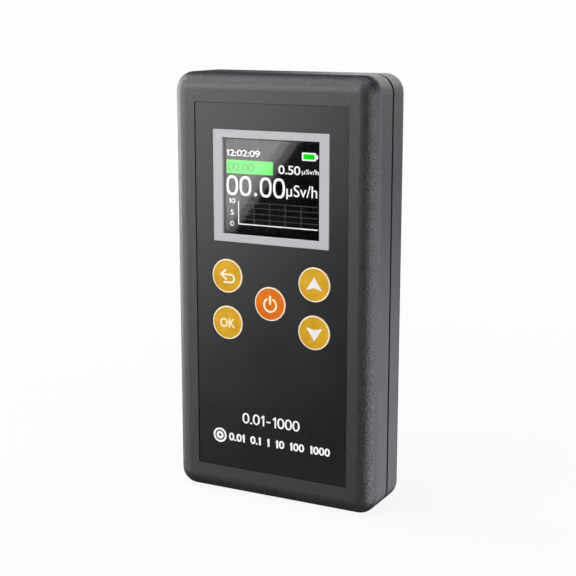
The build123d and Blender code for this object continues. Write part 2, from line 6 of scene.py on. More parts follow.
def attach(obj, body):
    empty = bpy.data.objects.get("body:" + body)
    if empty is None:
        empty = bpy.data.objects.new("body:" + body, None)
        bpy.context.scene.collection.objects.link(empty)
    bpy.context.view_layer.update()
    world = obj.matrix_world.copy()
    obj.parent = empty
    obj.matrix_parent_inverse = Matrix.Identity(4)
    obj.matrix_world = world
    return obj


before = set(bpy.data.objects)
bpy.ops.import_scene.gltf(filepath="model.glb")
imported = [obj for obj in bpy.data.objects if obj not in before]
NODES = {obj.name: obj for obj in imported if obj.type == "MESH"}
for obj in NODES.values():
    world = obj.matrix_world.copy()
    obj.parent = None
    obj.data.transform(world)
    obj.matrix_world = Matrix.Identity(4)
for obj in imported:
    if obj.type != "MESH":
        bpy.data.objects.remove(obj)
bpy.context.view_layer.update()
MM = 0.001

# ------------------------------------------------------------------ numbers that set the light
FLOOR_GLOW = 0.985
FLOOR_TONE = 0.060
# strips of the key light: along the edge, across it, radiance
KEY_STRIPS = [(-0.25, 0.30, -0.007, 0.002, 1.2), (-0.25, 0.30, 0.002, 0.011, 2.8), (-0.25, 0.30, 0.011, 0.12, 3.9),
              (-0.25, 0.30, 0.12, 0.35, 1.87), (-0.25, 0.30, 0.35, 0.80, 13.3),
              (0.30, 0.85, 0.00, 0.12, 0.92), (0.30, 0.85, 0.12, 0.35, 3.5), (0.30, 0.85, 0.35, 0.80, 7.31)]
# soft panels: azimuth from the front towards +X, elevation, width and height (degrees), radiance, colour
WARM, PLAIN, COOL = (1.0, 0.99, 0.975), (1.0, 1.0, 1.0), (0.96, 0.965, 1.03)
PANELS = [("left_low", -60, -8, 14, 12, 4.4, PLAIN), ("left_near", -51, -14, 12, 24, 3.0, PLAIN), ("left_mid", -66, 8, 12, 16, 3.16, PLAIN), ("left_high", -75, 50, 40, 24, 3.73, PLAIN),
          ("left_side", -95, 10, 36, 50, 5.61, PLAIN), ("front_high", -10, 62, 50, 20, 1.30, PLAIN), ("right_front", 46, 5, 20, 40, 0.72, COOL),
          ("right_low_a", 68, -22, 24, 24, 3.54, COOL), ("right_mid_a", 68, 8, 24, 30, 3.7, WARM), ("right_low_b", 95, -23, 26, 24, 6.3, COOL),
          ("right_back", 125, 0, 30, 50, 2.45, COOL), ("back_right_low", 153, -23, 30, 26, 1.45, COOL), ("back_right", 155, 12, 30, 30, 0.36, PLAIN),
          ("overhead", 0, 85, 8, 8, 44.0, (0.85, 0.87, 1.15)), ("back_rim", 185, 14, 40, 30, 2.4, PLAIN)]

scene = bpy.context.scene
scene.view_settings.view_transform = "Standard"
scene.view_settings.look = "None"
scene.view_settings.exposure = 0.0
scene.view_settings.gamma = 1.0

# ------------------------------------------------------------------ camera
cam_data = bpy.data.cameras.new("camera")
cam_data.sensor_width = 36.0
cam_data.lens = 1301.736 * 36.0 / 576.0
cam_data.clip_start = 0.01
cam_data.clip_end = 50.0
camera = bpy.data.objects.new("camera", cam_data)
scene.collection.objects.link(camera)
back = Vector((0.45000733, -0.86907664, 0.20542443)).normalized()
right = Vector((0.88796526, 0.45991025, 0.00051785)).normalized()
up = back.cross(right).normalized()
right = up.cross(back).normalized()
m = Matrix.Identity(4)
for i in range(3):
    m[i][0], m[i][1], m[i][2] = right[i], up[i], back[i]
m[0][3], m[1][3], m[2][3] = 0.169605, -0.327949, 0.138874
camera.matrix_world = m
scene.camera = camera


# ------------------------------------------------------------------ node helpers
class Mat:
    """A procedural material around one Principled shader, in object coordinates (metres)."""

    def __init__(self, name):
        self.mat = bpy.data.materials.new(name)
        self.mat.use_nodes = True
        self.nt = self.mat.node_tree
        self.nt.nodes.clear()
        self.out = self.nt.nodes.new("ShaderNodeOutputMaterial")
        self.bsdf = self.nt.nodes.new("ShaderNodeBsdfPrincipled")
        self.nt.links.new(self.bsdf.outputs[0], self.out.inputs[0])
        self.tc = self.nt.nodes.new("ShaderNodeTexCoord")
        self.normal = None

    def set(self, **kw):
        for k, v in kw.items():
            self.bsdf.inputs[k.replace("_", " ")].default_value = v
        return self

    def link(self, a, b):
        self.nt.links.new(a, b)

    def coords(self, scale=(1, 1, 1), rot=(0, 0, 0)):
        n = self.nt.nodes.new("ShaderNodeMapping")
        n.inputs["Scale"].default_value = scale
        n.inputs["Rotation"].default_value = rot
        self.link(self.tc.outputs["Object"], n.inputs["Vector"])
        return n.outputs[0]

    def noise(self, scale, detail=2.0, rough=0.5, vec=None, distortion=0.0):
        n = self.nt.nodes.new("ShaderNodeTexNoise")
        n.inputs["Scale"].default_value = scale
        n.inputs["Detail"].default_value = detail
        n.inputs["Roughness"].default_value = rough
        n.inputs["Distortion"].default_value = distortion
        self.link(vec or self.tc.outputs["Object"], n.inputs["Vector"])
        return n.outputs[0]

    def voronoi(self, scale, vec=None, feature="F1"):
        n = self.nt.nodes.new("ShaderNodeTexVoronoi")
        n.feature = feature
        n.inputs["Scale"].default_value = scale
        self.link(vec or self.tc.outputs["Object"], n.inputs["Vector"])
        return n.outputs["Distance"]

    def ramp(self, fac, stops):
        n = self.nt.nodes.new("ShaderNodeValToRGB")
        els = n.color_ramp.elements
        while len(els) < len(stops):
            els.new(0.5)
        for e, (p, c) in zip(els, stops):
            e.position = p
            e.color = (*c, 1.0) if len(c) == 3 else c
        self.link(fac, n.inputs[0])
        return n.outputs[0]

    def maprange(self, v, a, b, c, d):
        n = self.nt.nodes.new("ShaderNodeMapRange")
        n.inputs[1].default_value, n.inputs[2].default_value = a, b
        n.inputs[3].default_value, n.inputs[4].default_value = c, d
        self.link(v, n.inputs[0])
        return n.outputs[0]

    def math(self, op, a, b=None, c=None):
        n = self.nt.nodes.new("ShaderNodeMath")
        n.operation = op
        for i, v in enumerate((a, b, c)):
            if v is None:
                continue
            if isinstance(v, (int, float)):
                n.inputs[i].default_value = v
            else:
                self.link(v, n.inputs[i])
        return n.outputs[0]

    def mixc(self, fac, a, b, blend="MIX"):
        n = self.nt.nodes.new("ShaderNodeMix")
        n.data_type = "RGBA"
        n.blend_type = blend
        for sock, v in ((n.inputs[0], fac), (n.inputs[6], a), (n.inputs[7], b)):
            if isinstance(v, (int, float)):
                sock.default_value = v
            elif isinstance(v, tuple):
                sock.default_value = (*v, 1.0) if len(v) == 3 else v
            else:
                self.link(v, sock)
        return n.outputs[2]

    def bump(self, height, strength=0.3, distance=0.00005):
        n = self.nt.nodes.new("ShaderNodeBump")
        n.inputs["Strength"].default_value = strength
        n.inputs["Distance"].default_value = distance
        self.link(height, n.inputs["Height"])
        if self.normal is not None:
            self.link(self.normal, n.inputs["Normal"])
        self.normal = n.outputs[0]
        self.link(self.normal, self.bsdf.inputs["Normal"])
        return self

    def color(self, sock):
        self.link(sock, self.bsdf.inputs["Base Color"])
        return self

    def rough(self, sock):
        self.link(sock, self.bsdf.inputs["Roughness"])
        return self

    def edges(self):
        """0 on flat faces square to the axes, towards 1 on roundings and edges."""
        g = self.nt.nodes.new("ShaderNodeNewGeometry")
        s = self.nt.nodes.new("ShaderNodeSeparateXYZ")
        self.link(g.outputs["Normal"], s.inputs[0])
        ax, ay, az = (self.math("ABSOLUTE", s.outputs[i]) for i in range(3))
        big = self.math("MAXIMUM", self.math("MAXIMUM", ax, ay), az)
        return self.maprange(big, 1.0, 0.72, 0.0, 1.0)


def speckled(name, base, rough, var=0.12, scale=900.0, bump=0.25, grain=2600.0, dist=0.00003, spec=0.5, metallic=0.0,
             wear=0.25, wear_to=1.6, coat=0.0, coat_rough=0.1):
    """Moulded or painted surface: mottled colour, uneven gloss, fine grain and slightly rubbed edges."""
    mt = Mat(name)
    mt.set(Metallic=metallic)
    mt.bsdf.inputs["Specular IOR Level"].default_value = spec
    mt.bsdf.inputs["Coat Weight"].default_value = coat
    mt.bsdf.inputs["Coat Roughness"].default_value = coat_rough
    broad = mt.noise(scale * 0.12, 3.0)
    fine = mt.noise(scale, 3.0)
    lo = tuple(c * (1 - var) for c in base)
    hi = tuple(min(1.0, c * (1 + var)) for c in base)
    c = mt.mixc(mt.maprange(mt.math("ADD", mt.math("MULTIPLY", broad, 0.6), mt.math("MULTIPLY", fine, 0.4)), 0.35, 0.65, 0.0, 1.0), lo, hi)
    if wear > 0:
        mask = mt.math("MULTIPLY", mt.edges(), mt.maprange(mt.noise(scale * 0.5, 4.0, 0.6), 0.45, 0.7, 0.0, wear))
        worn = tuple(min(1.0, x * wear_to + 0.004) for x in base)
        c = mt.mixc(mask, c, worn)
    mt.color(c)
    mt.rough(mt.maprange(fine, 0.3, 0.7, max(0.02, rough - 0.06), min(1.0, rough + 0.06)))
    mt.bump(mt.noise(grain, 2.0, 0.6), bump, dist)
    return mt


def brushed(name, base, rough, axis=2, metallic=1.0, aniso=0.0, bump=0.15):
    """Metal with fine drawn lines along one axis and faint stains."""
    mt = Mat(name)
    mt.set(Metallic=metallic)
    s = [9000.0, 9000.0, 9000.0]
    s[axis] = 250.0
    lines = mt.noise(1.0, 3.0, 0.6, vec=mt.coords(scale=tuple(s)))
    stain = mt.noise(260.0, 3.0)
    lo = tuple(c * 0.88 for c in base)
    hi = tuple(min(1.0, c * 1.06) for c in base)
    mt.color(mt.mixc(mt.math("MULTIPLY", mt.math("ADD", lines, stain), 0.5), lo, hi))
    mt.rough(mt.maprange(lines, 0.3, 0.7, max(0.03, rough - 0.08), rough + 0.08))
    mt.bump(lines, bump, 0.00001)
    return mt


# ------------------------------------------------------------------ materials
M = {}

# charcoal shell with spark-eroded grain, painted glints on its roundings and painted shade along the parting seam
sh = Mat("shell_grain")
sh.bsdf.inputs["Specular IOR Level"].default_value = 0.5
pits = sh.voronoi(2100.0)
grain = sh.noise(2700.0, 2.0, 0.6)
soft = sh.noise(1200.0, 2.0, 0.5)
broad = sh.noise(45.0, 3.0, 0.5)
height = sh.math("ADD", sh.math("MULTIPLY", grain, 0.7), sh.math("ADD", sh.math("MULTIPLY", pits, 0.35), sh.math("MULTIPLY", soft, 0.5)))
rounding = sh.maprange(sh.edges(), 0.02, 0.55, 0.16, 1.0)
flat_tone = sh.mixc(sh.maprange(height, 0.55, 0.95, 0.0, 1.0), (0.0190, 0.0185, 0.0205), (0.0340, 0.0330, 0.0365))
# painted glints and painted pit shade: on the roundings the real grain's colour is spread to very dark pits and light
# flecks
round_tone_painted_glints = sh.mixc(sh.maprange(height, 0.55, 0.95, 0.0, 1.0), (0.0060, 0.0058, 0.0066), (0.0560, 0.0520, 0.0560))
tone = sh.mixc(rounding, flat_tone, round_tone_painted_glints)
tone = sh.mixc(sh.maprange(broad, 0.3, 0.7, 0.0, 0.35), tone, (0.0300, 0.0292, 0.0325))
rub = sh.math("MULTIPLY", sh.edges(), sh.maprange(sh.noise(380.0, 4.0, 0.65), 0.46, 0.72, 0.0, 0.45))
tone = sh.mixc(rub, tone, (0.062, 0.050, 0.048))
# painted shade: a band of the shell along the parting seam is painted near-black and its specular is cut, where the
# gap's shade falls
sy = sh.nt.nodes.new("ShaderNodeSeparateXYZ")
sh.link(sh.tc.outputs["Object"], sy.inputs[0])
off = sh.math("ABSOLUTE", sh.math("SUBTRACT", sy.outputs[1], 0.0003))
seam_painted_shade = sh.maprange(off, 0.00042, 0.00060, 1.0, 0.0)
tone = sh.mixc(seam_painted_shade, tone, (0.002, 0.002, 0.002))
sh.color(tone)
sh.link(sh.maprange(seam_painted_shade, 0.0, 1.0, 0.5, 0.05), sh.bsdf.inputs["Specular IOR Level"])
sh.rough(sh.math("SUBTRACT", sh.math("ADD", sh.maprange(grain, 0.3, 0.7, 0.28, 0.40), sh.maprange(rounding, 0.16, 1.0, 0.09, 0.0)), sh.math("MULTIPLY", rub, 0.12)))
sh.bump(sh.math("MULTIPLY", height, rounding), 1.0, 0.00017)
M["shell"] = sh

# satin faceplate film
fp = Mat("faceplate_satin")
fp.bsdf.inputs["Specular IOR Level"].default_value = 0.5
tex = fp.noise(5200.0, 2.0, 0.5)
cloud = fp.noise(60.0, 3.0, 0.5)
fp.color(fp.mixc(fp.maprange(cloud, 0.3, 0.7, 0.0, 1.0), (0.0080, 0.0088, 0.0100), (0.0096, 0.0104, 0.0118)))
fp.rough(fp.maprange(cloud, 0.3, 0.7, 0.265, 0.305))
fp.bump(tex, 0.10, 0.00001)
M["faceplate"] = fp

# silver bezel
M["bezel"] = speckled("bezel_silver_satin", (0.455, 0.452, 0.475), 0.42, var=0.03, scale=1500.0, bump=0.12, grain=4200.0, dist=0.00001,
                      spec=0.5, metallic=0.0, wear=0.3, wear_to=1.25)

# display window: clear polished plate
wd = Mat("window_clear")
wd.bsdf.inputs["IOR"].default_value = 1.0
wd.bsdf.inputs["Transmission Weight"].default_value = 1.0
wd.bsdf.inputs["Coat Weight"].default_value = 1.0
wd.bsdf.inputs["Coat IOR"].default_value = 1.42
wd.bsdf.inputs["Coat Roughness"].default_value = 0.05
wd.color(wd.mixc(wd.maprange(wd.noise(90.0, 3.0), 0.3, 0.7, 0.0, 1.0), (0.97, 0.98, 0.985), (1.0, 1.0, 1.0)))
wd.link(wd.maprange(wd.noise(300.0, 4.0, 0.6), 0.3, 0.7, 0.022, 0.034), wd.bsdf.inputs["Coat Roughness"])
wd.rough(wd.maprange(wd.noise(300.0, 4.0, 0.6), 0.3, 0.7, 0.0, 0.002))
M["window"] = wd

# display panel: deep black with faint cell structure
lc = Mat("lcd_black")
lc.bsdf.inputs["Specular IOR Level"].default_value = 0.05
lc.color(lc.mixc(lc.maprange(lc.noise(9000.0, 1.0), 0.3, 0.7, 0.0, 1.0), (0.0006, 0.0006, 0.0008), (0.0014, 0.0014, 0.0018)))
lc.rough(lc.maprange(lc.noise(300.0, 2.0), 0.3, 0.7, 0.25, 0.32))
lc.bump(lc.noise(9000.0, 1.0), 0.05, 0.000004)
M["lcd"] = lc


def key_material(name, dark, light):
    mt = Mat(name)
    mt.bsdf.inputs["Specular IOR Level"].default_value = 0.18
    mt.bsdf.inputs["Coat Weight"].default_value = 0.0
    mt.bsdf.inputs["Coat Roughness"].default_value = 0.25
    streak = mt.noise(1.0, 3.0, 0.6, vec=mt.coords(scale=(900.0, 900.0, 5200.0), rot=(0.0, 0.65, 0.0)))
    cloud = mt.noise(240.0, 2.0)
    f = mt.maprange(mt.math("ADD", mt.math("MULTIPLY", streak, 0.45), mt.math("MULTIPLY", cloud, 0.55)), 0.35, 0.65, 0.0, 1.0)
    mt.color(mt.mixc(f, dark, light))
    mt.rough(mt.maprange(streak, 0.3, 0.7, 0.36, 0.50))
    mt.bump(streak, 0.16, 0.00001)
    return mt


M["amber"] = key_material("key_amber_satin", (0.54, 0.285, 0.006), (0.70, 0.390, 0.016))
M["orange"] = key_material("key_orange_satin", (0.60, 0.120, 0.001), (0.74, 0.185, 0.002))

M["seal"] = speckled("seal_rubber", (0.002, 0.002, 0.0022), 0.85, var=0.2, bump=0.3, grain=3000.0, spec=0.04, wear=0.0)
M["screw"] = speckled("screw_black_oxide", (0.05, 0.05, 0.055), 0.38, var=0.2, scale=1800.0, bump=0.25, grain=5200.0, metallic=0.8, wear=0.7, wear_to=4.0)
M["steel"] = brushed("plated_steel", (0.66, 0.66, 0.68), 0.3)
M["brass"] = brushed("turned_brass", (0.78, 0.56, 0.24), 0.32, axis=0)
M["white_plastic"] = speckled("white_moulding", (0.72, 0.72, 0.70), 0.5, var=0.05)
M["foam"] = speckled("foam_black", (0.03, 0.03, 0.03), 0.95, var=0.5, scale=2500.0, bump=0.9, grain=1500.0, dist=0.0002, wear=0.0)
M["flex"] = speckled("polyimide", (0.48, 0.20, 0.03), 0.28, var=0.1, bump=0.08)
M["black_plastic"] = speckled("black_moulding", (0.02, 0.02, 0.021), 0.42, var=0.15)
M["chip"] = speckled("epoxy_chip", (0.018, 0.018, 0.02), 0.6, var=0.2, scale=2500.0, bump=0.35, grain=6000.0)
M["ceramic"] = speckled("chip_ceramic", (0.42, 0.34, 0.24), 0.4, var=0.15)
M["ferrite"] = speckled("ferrite_sintered", (0.035, 0.035, 0.038), 0.62, var=0.2, scale=2500.0, bump=0.4)
M["winding"] = speckled("winding_tape", (0.72, 0.52, 0.05), 0.3, var=0.08)
M["capacitor"] = speckled("capacitor_dip", (0.04, 0.13, 0.38), 0.25, var=0.12)
M["label"] = speckled("label_silver", (0.42, 0.42, 0.44), 0.45, var=0.05, scale=1500.0, bump=0.1, wear=0.0)

board = Mat("board_mask")
traces = board.ramp(board.voronoi(420.0, vec=board.coords(scale=(1.0, 0.01, 1.0)), feature="DISTANCE_TO_EDGE"), [(0.0, (0.03, 0.21, 0.08)), (0.08, (0.012, 0.10, 0.035))])
board.color(board.mixc(board.maprange(board.noise(120.0, 3.0), 0.3, 0.7, 0.0, 0.4), traces, (0.01, 0.085, 0.03)))
board.rough(board.maprange(board.noise(900.0, 2.0), 0.3, 0.7, 0.28, 0.4))
board.bump(board.noise(2600.0, 3.0), 0.15, 0.00002)
M["board"] = board

tg = Mat("tube_glass")
tg.bsdf.inputs["IOR"].default_value = 1.47
tg.bsdf.inputs["Transmission Weight"].default_value = 1.0
tg.color(tg.mixc(tg.maprange(tg.noise(200.0, 3.0), 0.3, 0.7, 0.0, 1.0), (0.86, 0.93, 0.91), (0.94, 0.98, 0.97)))
tg.rough(tg.maprange(tg.noise(800.0, 3.0), 0.3, 0.7, 0.02, 0.06))
M["tube_glass"] = tg

cell = Mat("cell_jacket")
sep = cell.nt.nodes.new("ShaderNodeSeparateXYZ")
cell.link(cell.tc.outputs["Object"], sep.inputs[0])
band = cell.ramp(cell.maprange(sep.outputs[2], 0.0238, 0.0682, 0.0, 1.0), [(0.0, (0.45, 0.45, 0.46)), (0.03, (0.05, 0.09, 0.14)), (0.70, (0.06, 0.11, 0.17)), (0.74, (0.55, 0.30, 0.06)), (0.96, (0.60, 0.34, 0.07)), (0.98, (0.5, 0.5, 0.5))])
cell.color(cell.mixc(cell.maprange(cell.noise(500.0, 3.0), 0.3, 0.7, 0.0, 0.25), band, (0.08, 0.08, 0.09)))
cell.rough(cell.maprange(cell.noise(900.0, 3.0), 0.3, 0.7, 0.22, 0.34))
cell.bump(cell.noise(1500.0, 2.0), 0.08, 0.00002)
M["cell"] = cell


def emitter(name, color, strength, base=(0.0, 0.0, 0.0)):
    """Lit display element with a fine pixel pattern in its brightness."""
    mt = Mat(name)
    px = mt.noise(7000.0, 1.0)
    lo = tuple(c * 0.93 for c in color)
    c = mt.mixc(mt.maprange(px, 0.3, 0.7, 0.0, 1.0), lo, color)
    mt.link(c, mt.bsdf.inputs["Emission Color"])
    mt.bsdf.inputs["Emission Strength"].default_value = strength
    mt.bsdf.inputs["Base Color"].default_value = (*base, 1.0)
    mt.bsdf.inputs["Specular IOR Level"].default_value = 0.0
    mt.rough(mt.maprange(px, 0.3, 0.7, 0.5, 0.6))
    return mt


M["lit_white"] = emitter("lit_white", (1.0, 1.0, 1.0), 0.60, (0.50, 0.50, 0.50))
M["lit_grid"] = emitter("lit_grid", (1.0, 1.0, 1.0), 0.03, (0.03, 0.03, 0.03))
M["lit_bar"] = emitter("lit_bar", (0.10, 0.80, 0.11), 0.62, (0.06, 0.42, 0.06))
M["lit_bar_dark"] = emitter("lit_bar_dark", (0.06, 0.50, 0.07), 0.45, (0.04, 0.22, 0.04))
M["lit_green"] = emitter("lit_green", (0.003, 0.86, 0.003), 0.60, (0.003, 0.35, 0.003))

ink = Mat("print_white")
ink.bsdf.inputs["Specular IOR Level"].default_value = 0.4
ink.color(ink.mixc(ink.maprange(ink.noise(3000.0, 3.0, 0.6), 0.3, 0.7, 0.0, 1.0), (0.86, 0.86, 0.86), (0.97, 0.97, 0.97)))
ink.rough(ink.maprange(ink.noise(2500.0, 2.0), 0.3, 0.7, 0.45, 0.6))
ink.bump(ink.noise(6000.0, 2.0), 0.1, 0.000004)
M["ink"] = ink
dark_ink = Mat("print_dark")
dark_ink.bsdf.inputs["Specular IOR Level"].default_value = 0.3
dark_ink.color(dark_ink.mixc(dark_ink.maprange(dark_ink.noise(2500.0, 3.0, 0.6), 0.3, 0.7, 0.0, 1.0), (0.015, 0.015, 0.016), (0.035, 0.035, 0.037)))
dark_ink.rough(dark_ink.maprange(dark_ink.noise(2500.0, 2.0), 0.3, 0.7, 0.45, 0.6))
dark_ink.bump(dark_ink.noise(6000.0, 2.0), 0.1, 0.000004)
M["dark_ink"] = dark_ink
cream = Mat("print_cream")
cream.bsdf.inputs["Specular IOR Level"].default_value = 0.4
cream.color(cream.mixc(cream.maprange(cream.noise(2500.0, 3.0, 0.6), 0.3, 0.7, 0.0, 1.0), (0.88, 0.77, 0.56), (0.98, 0.88, 0.68)))
cream.rough(cream.maprange(cream.noise(2500.0, 2.0), 0.3, 0.7, 0.4, 0.55))
cream.bump(cream.noise(6000.0, 2.0), 0.1, 0.000004)
M["cream"] = cream
sand = Mat("print_sand")
sand.bsdf.inputs["Specular IOR Level"].default_value = 0.3
sand.color(sand.mixc(sand.maprange(sand.noise(2500.0, 3.0, 0.6), 0.3, 0.7, 0.0, 1.0), (0.86, 0.74, 0.46), (0.95, 0.84, 0.58)))
sand.rough(sand.maprange(sand.noise(2500.0, 2.0), 0.3, 0.7, 0.45, 0.6))
sand.bump(sand.noise(6000.0, 2.0), 0.1, 0.000004)
M["sand"] = sand
pearl = Mat("print_pearl")
pearl.bsdf.inputs["Specular IOR Level"].default_value = 0.3
pearl.color(pearl.mixc(pearl.maprange(pearl.noise(2500.0, 3.0, 0.6), 0.3, 0.7, 0.0, 1.0), (0.74, 0.73, 0.70), (0.84, 0.83, 0.80)))
pearl.rough(pearl.maprange(pearl.noise(2500.0, 2.0), 0.3, 0.7, 0.45, 0.6))
pearl.bump(pearl.noise(6000.0, 2.0), 0.1, 0.000004)
M["pearl"] = pearl

NODE_MATERIAL = {
    "front_shell": "shell", "rear_shell": "shell", "battery_door": "shell", "case_seal": "seal", "case_inserts": "brass",
    "battery_door_inserts": "brass", "case_screws": "screw", "battery_door_screws": "screw", "faceplate": "faceplate",
    "display_bezel": "bezel", "display_window": "window", "lcd_glass": "lcd", "lcd_backlight": "white_plastic",
    "display_foam_pad": "foam", "tube_foam_pad": "foam", "lcd_flex": "flex", "display_connector": "white_plastic",
    "back_key": "amber", "ok_key": "amber", "up_key": "amber", "down_key": "amber", "power_key": "orange",
    "back_key_plunger": "black_plastic", "ok_key_plunger": "black_plastic", "power_key_plunger": "black_plastic",
    "up_key_plunger": "black_plastic", "down_key_plunger": "black_plastic", "key_switches": "black_plastic",
    "main_board": "board", "board_screws": "steel", "mcu_chip": "chip", "board_chips": "chip", "quartz_crystal": "steel",
    "board_passives": "ceramic", "hv_transformer_core": "ferrite", "hv_transformer_winding": "winding",
    "hv_capacitors": "capacitor", "buzzer": "black_plastic", "gm_tube_glass": "tube_glass", "gm_tube_cathode": "steel",
    "gm_tube_end_caps": "steel", "gm_tube_anode_wire": "steel", "gm_tube_clips": "brass", "battery_cells": "cell",
    "battery_contacts_upper": "steel", "battery_contacts_lower": "steel", "rear_label": "label",
}
for node, obj in NODES.items():
    obj.data.materials.clear()
    obj.data.materials.append(M[NODE_MATERIAL[node]].mat)

# ------------------------------------------------------------------ flat printed and lit shapes
Z_CASE = 0.0616
Y_PLATE = -11.2
Y_KEY = -11.46
Y_LIT = -10.20
CAM = (169.605, -327.949, 138.874)


def to_mesh(curve_obj, name):
    """Turns a curve object into a clean mesh object and removes the curve."""
    dg = bpy.context.evaluated_depsgraph_get()
    dg.update()
    mesh = bpy.data.meshes.new_from_object(curve_obj.evaluated_get(dg))
    mesh.name = name
    obj = bpy.data.objects.new(name, mesh)
    scene.collection.objects.link(obj)
    data = curve_obj.data
    bpy.data.objects.remove(curve_obj)
    bpy.data.curves.remove(data)
    return obj


def place(obj, y, thick):
    """Curve plane (x, y, depth) to the front of the case: x to X, y to Z, front at the given y (mm)."""
    co = [v.co.copy() for v in obj.data.vertices]
    zs = [c.z for c in co]
    lo, hi = min(zs), max(zs)
    for v, c in zip(obj.data.vertices, co):
        t = (c.z - lo) / (hi - lo) if hi > lo else 1.0
        v.co = Vector((c.x * MM, (y + thick - t * thick) * MM, c.y * MM))
    obj.data.update()
    return obj


def finish_piece(obj, mat, body):
    obj.data.materials.clear()
    obj.data.materials.append(M[mat].mat)
    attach(obj, body)
    return obj


def shape(name, loops, y, thick, mat, body):
    """Solid flat piece from closed loops in mm (holes by even-odd)."""
    cu = bpy.data.curves.new(name + "_curve", "CURVE")
    cu.dimensions = "2D"
    cu.fill_mode = "BOTH"
    cu.extrude = 1.0
    for pts in loops:
        sp = cu.splines.new("POLY")
        sp.points.add(len(pts) - 1)
        for p, (a, b) in zip(sp.points, pts):
            p.co = (a, b, 0.0, 1.0)
        sp.use_cyclic_u = True
    ob = bpy.data.objects.new(name + "_curve", cu)
    scene.collection.objects.link(ob)
    return finish_piece(place(to_mesh(ob, name), y, thick), mat, body)


def text(name, words, x0, x1, z0, z1, y, thick, mat, body, weight=0.0, spacing=1.0):
    """Generic figures and units, fitted to a box in mm on the front."""
    cu = bpy.data.curves.new(name + "_curve", "FONT")
    cu.body = words
    cu.fill_mode = "BOTH"
    cu.extrude = 1.0
    cu.size = 10.0
    cu.offset = weight
    cu.space_character = spacing
    cu.resolution_u = 6
    ob = bpy.data.objects.new(name + "_curve", cu)
    scene.collection.objects.link(ob)
    obj = to_mesh(ob, name)
    xs = [v.co.x for v in obj.data.vertices]
    ys = [v.co.y for v in obj.data.vertices]
    ax, bx, ay, by = min(xs), max(xs), min(ys), max(ys)
    for v in obj.data.vertices:
        v.co.x = x0 + (v.co.x - ax) / (bx - ax) * (x1 - x0)
        v.co.y = z0 + (v.co.y - ay) / (by - ay) * (z1 - z0)
    return finish_piece(place(obj, y, thick), mat, body)


CELL = {"0": 0.66, "1": 0.46, ".": 0.27, ":": 0.27, " ": 0.30, "-": 0.58}


def glyph(ch, weight, stem):
    """One figure as a flat solid: its points, its faces, and the box it fills."""
    if ch in "1-":
        cu = bpy.data.curves.new("glyph_curve", "CURVE")
        cu.dimensions = "2D"
        sp = cu.splines.new("POLY")
        pts = [(0.30 - stem, 0.0), (0.30, 0.0), (0.30, 1.0), (0.30 - stem * 0.85, 1.0), (0.0, 0.80), (0.05, 0.80 - stem * 0.9), (0.30 - stem, 0.86 - stem * 0.55)]
        if ch == "-":
            pts = [(0.0, 0.37), (0.36, 0.37), (0.36, 0.37 + stem * 0.9), (0.0, 0.37 + stem * 0.9)]
        sp.points.add(len(pts) - 1)
        for p, (a, b) in zip(sp.points, pts):
            p.co = (a, b, 0.0, 1.0)
        sp.use_cyclic_u = True
    else:
        cu = bpy.data.curves.new("glyph_curve", "FONT")
        cu.body = ch
        cu.size = 1.0
        cu.offset = weight
        cu.resolution_u = 6
    cu.fill_mode = "BOTH"
    cu.extrude = 0.1
    ob = bpy.data.objects.new("glyph_curve", cu)
    scene.collection.objects.link(ob)
    ob = to_mesh(ob, "glyph")
    mesh = ob.data
    vs = [v.co.copy() for v in mesh.vertices]
    fs = [tuple(p.vertices) for p in mesh.polygons]
    bpy.data.objects.remove(ob)
    bpy.data.meshes.remove(mesh)
    xs, ys = [v.x for v in vs], [v.y for v in vs]
    return vs, fs, (min(xs), max(xs), min(ys), max(ys))


def figures(name, words, x0, x1, z0, z1, y, thick, mat, body, weight=0.0, stem=0.14):
    """Evenly set figures in a box in mm on the front."""
    cap = glyph("0", weight, stem)[2]
    tall = cap[3] - cap[2]
    total = sum(CELL.get(c, 0.64) for c in words)
    sx = (x1 - x0) / total
    verts, faces, pos = [], [], 0.0
    for ch in words:
        cell = CELL.get(ch, 0.64)
        if ch != " ":
            vs, fs, (ax, bx, ay, by) = glyph(ch, weight, stem)
            unit = 1.0 if ch in "1-" else 1.0 / tall
            low = 0.0 if ch in "1-" else cap[2]
            grow = 1.0 if ch in ".:-1" else 1.0 / ((by - ay) * unit)
            for v in vs:
                h = (v.y - (ay if grow != 1.0 else low)) * unit * grow
                verts.append((x0 + (pos + cell / 2 + (v.x - (ax + bx) / 2) * unit) * sx, z0 + h * (z1 - z0), v.z))
            base = len(verts) - len(vs)
            faces += [tuple(i + base for i in f) for f in fs]
        pos += cell
    mesh = bpy.data.meshes.new(name)
    mesh.from_pydata(verts, [], faces)
    mesh.update()
    obj = bpy.data.objects.new(name, mesh)
    scene.collection.objects.link(obj)
    return finish_piece(place(obj, y, thick), mat, body)


def arc(cx, cy, r, a0, a1, n=32):
    return [(cx + r * math.cos(math.radians(a0 + (a1 - a0) * i / n)), cy + r * math.sin(math.radians(a0 + (a1 - a0) * i / n))) for i in range(n + 1)]


def circle(cx, cy, r, n=48):
    return arc(cx, cy, r, 0, 360, n)[:-1]


def round_rect(x0, x1, z0, z1, r, n=6):
    return (arc(x1 - r, z1 - r, r, 0, 90, n) + arc(x0 + r, z1 - r, r, 90, 180, n)
            + arc(x0 + r, z0 + r, r, 180, 270, n) + arc(x1 - r, z0 + r, r, 270, 360, n))


def capsule(p, q, w, n=10):
    """Closed outline of a straight stroke with round ends."""
    dx, dy = q[0] - p[0], q[1] - p[1]
    a = math.degrees(math.atan2(dy, dx))
    return arc(q[0], q[1], w / 2, a - 90, a + 90, n) + arc(p[0], p[1], w / 2, a + 90, a + 270, n)


